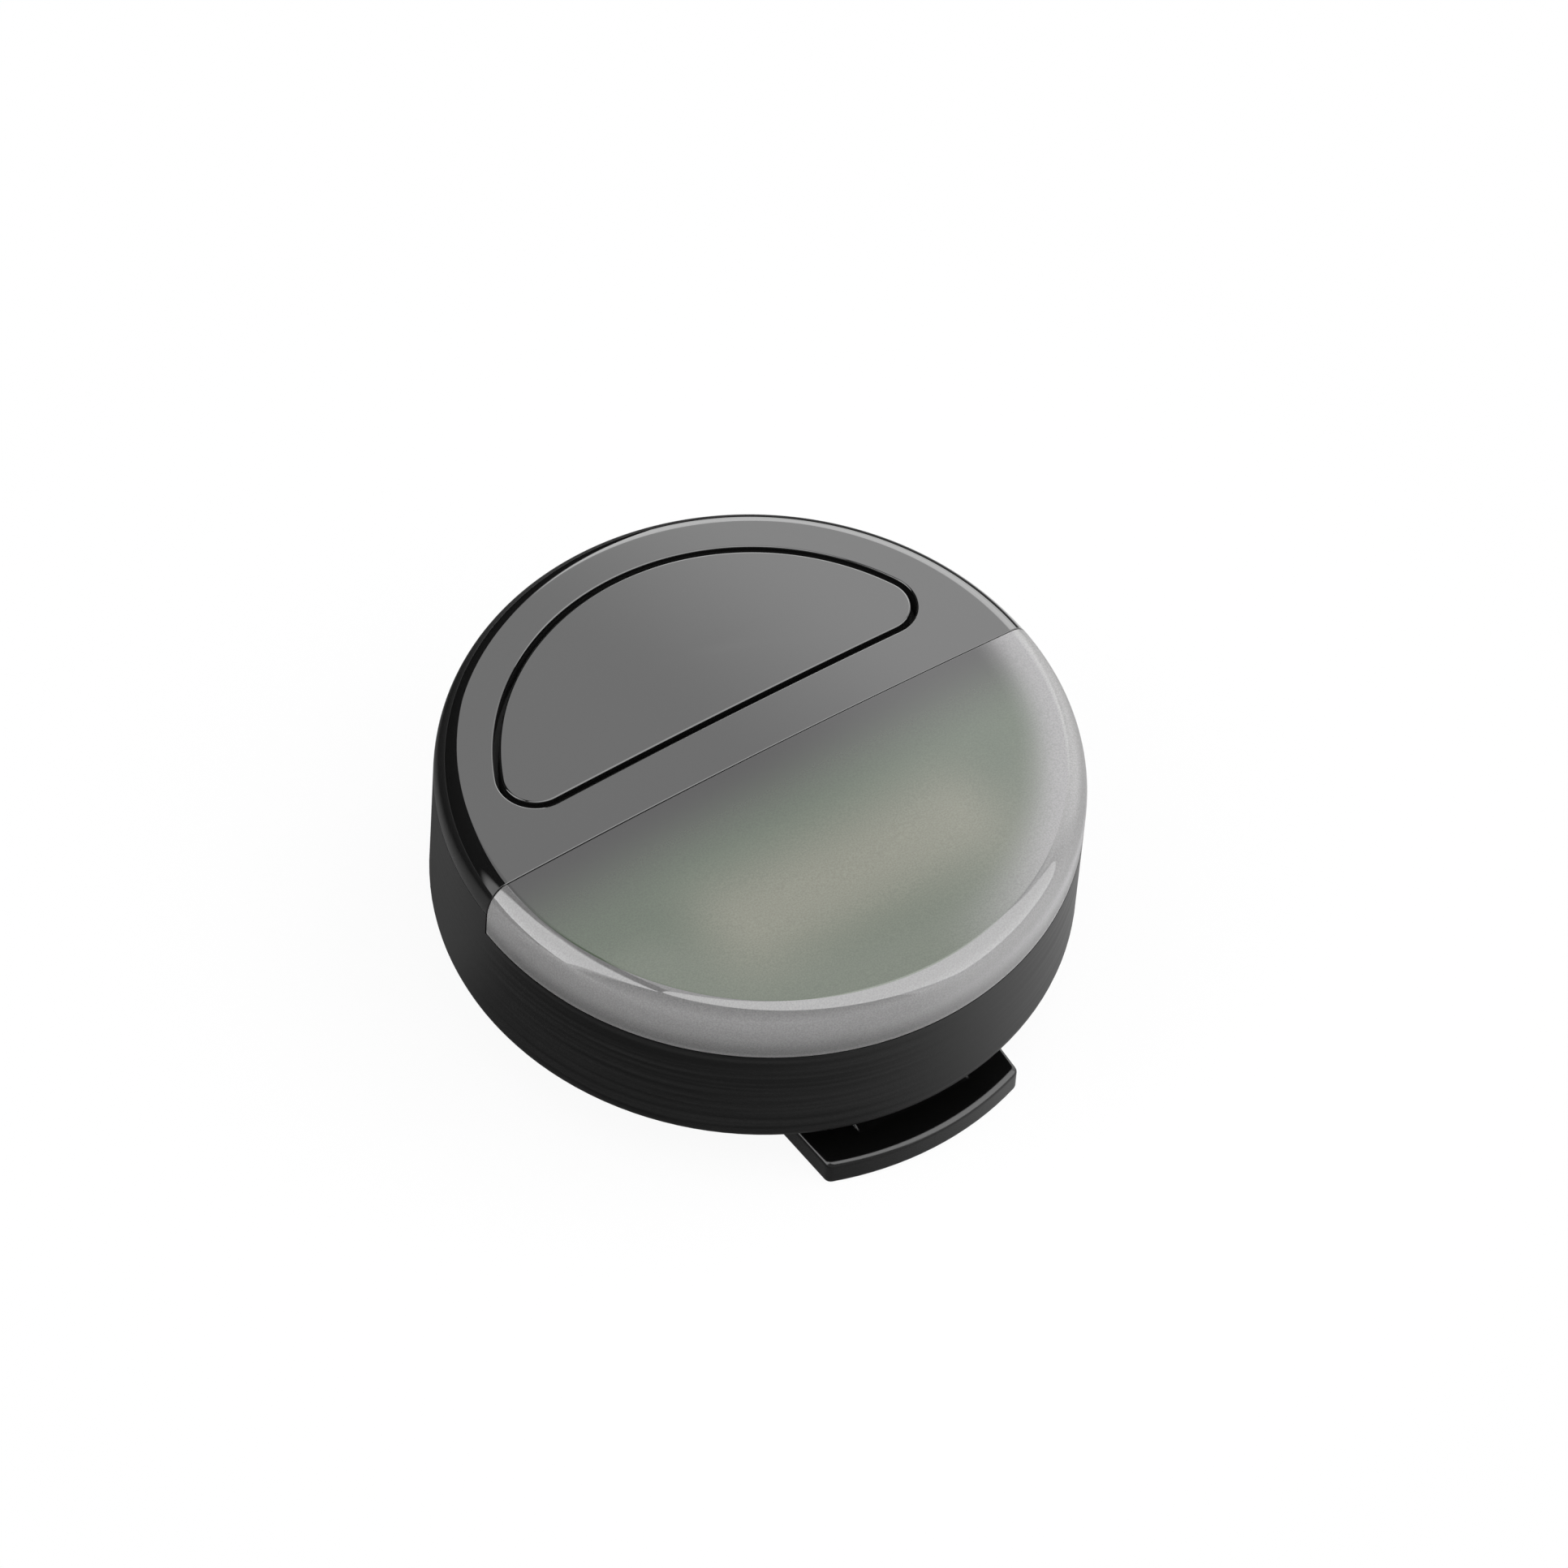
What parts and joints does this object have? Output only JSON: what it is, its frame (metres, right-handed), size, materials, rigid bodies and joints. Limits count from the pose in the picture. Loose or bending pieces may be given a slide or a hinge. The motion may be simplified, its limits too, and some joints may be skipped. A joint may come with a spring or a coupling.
{
  "type": "clip-on light",
  "caption": "Small round wearable light: half gloss black with a D-shaped push button, half frosted lens, with a sprung clip hinged under its back.",
  "frame": {"origin": "on the clip's flat outer face, under the centre of the round body", "axes": "+Z out of the face, +X along the line between cover and lens, +Y to the button, the hinge and the charging socket"},
  "size_m": [0.04, 0.0403, 0.0174],
  "materials": {
    "satin_black": "satin",
    "gloss_black": "polished",
    "frosted": "frosted, clear gloss outer skin",
    "silicone": "matte",
    "inner_plastic": "matte",
    "board_green": "solder mask",
    "steel": "plain",
    "chip_black": "matte",
    "chip_grey": "matte",
    "rubber_black": "matte",
    "cell_foil": "foil pouch",
    "foam": "open cell",
    "lead_red": "wire sleeve",
    "white_plastic": "matte white",
    "board_white": "white mask on metal",
    "phosphor": "yellow phosphor gel",
    "contact_brass": "gold plated",
    "spring_steel": "drawn wire"
  },
  "bodies": {
    "body": {"housing": "satin_black", "front_cover": "gloss_black", "lens": "frosted", "button_seal": "silicone", "seal_retainer": "inner_plastic", "gasket": "silicone", "circuit_board": "board_green", "board_screws": "steel", "tact_switch": "chip_black", "control_chip": "chip_black", "charger_chip": "chip_black", "inductor": "chip_grey", "usb_shell": "steel", "usb_insert": "inner_plastic", "battery": "cell_foil", "battery_foam": "foam", "battery_leads": "lead_red", "reflector": "white_plastic", "led_board": "board_white", "led_phosphor": "phosphor", "led_dam": "white_plastic", "led_contacts": "contact_brass", "clip_bracket": "gloss_black", "bracket_screws": "steel", "clip_spring": "spring_steel"},
    "clip": {"clip_arm": "gloss_black", "hinge_pin": "steel"},
    "button": {"button_cap": "gloss_black"},
    "plunger": {"switch_plunger": "inner_plastic"},
    "flap": {"port_flap": "rubber_black"}
  },
  "joints": [
    {"name": "clip_hinge", "type": "hinge", "parent": "body", "child": "clip", "pos_m": [0, 0.01, 0.0022], "axis": [1, 0, 0], "range_deg": [0, 15], "stiffness_Nm_per_rad": 0.15, "springref_deg": -22.92, "deforming": ["clip_spring"]},
    {"name": "button_press", "type": "slide", "parent": "body", "child": "button", "axis": [0, 0, -1], "range_m": [0, 0.0004], "stiffness_N_per_m": 2500, "springref_m": -0.0003, "deforming": ["button_seal"]},
    {"name": "switch_press", "type": "slide", "parent": "body", "child": "plunger", "axis": [0, 0, -1], "range_m": [0, 0.0004]},
    {"name": "flap_swing", "type": "hinge", "parent": "body", "child": "flap", "pos_m": [-0.006, 0.01847, 0.00802], "axis": [0, 0, 1], "range_deg": [0, 90]}
  ],
  "couplings": [
    {"joint": "switch_press", "follows": "button_press", "ratio": 1}
  ]
}
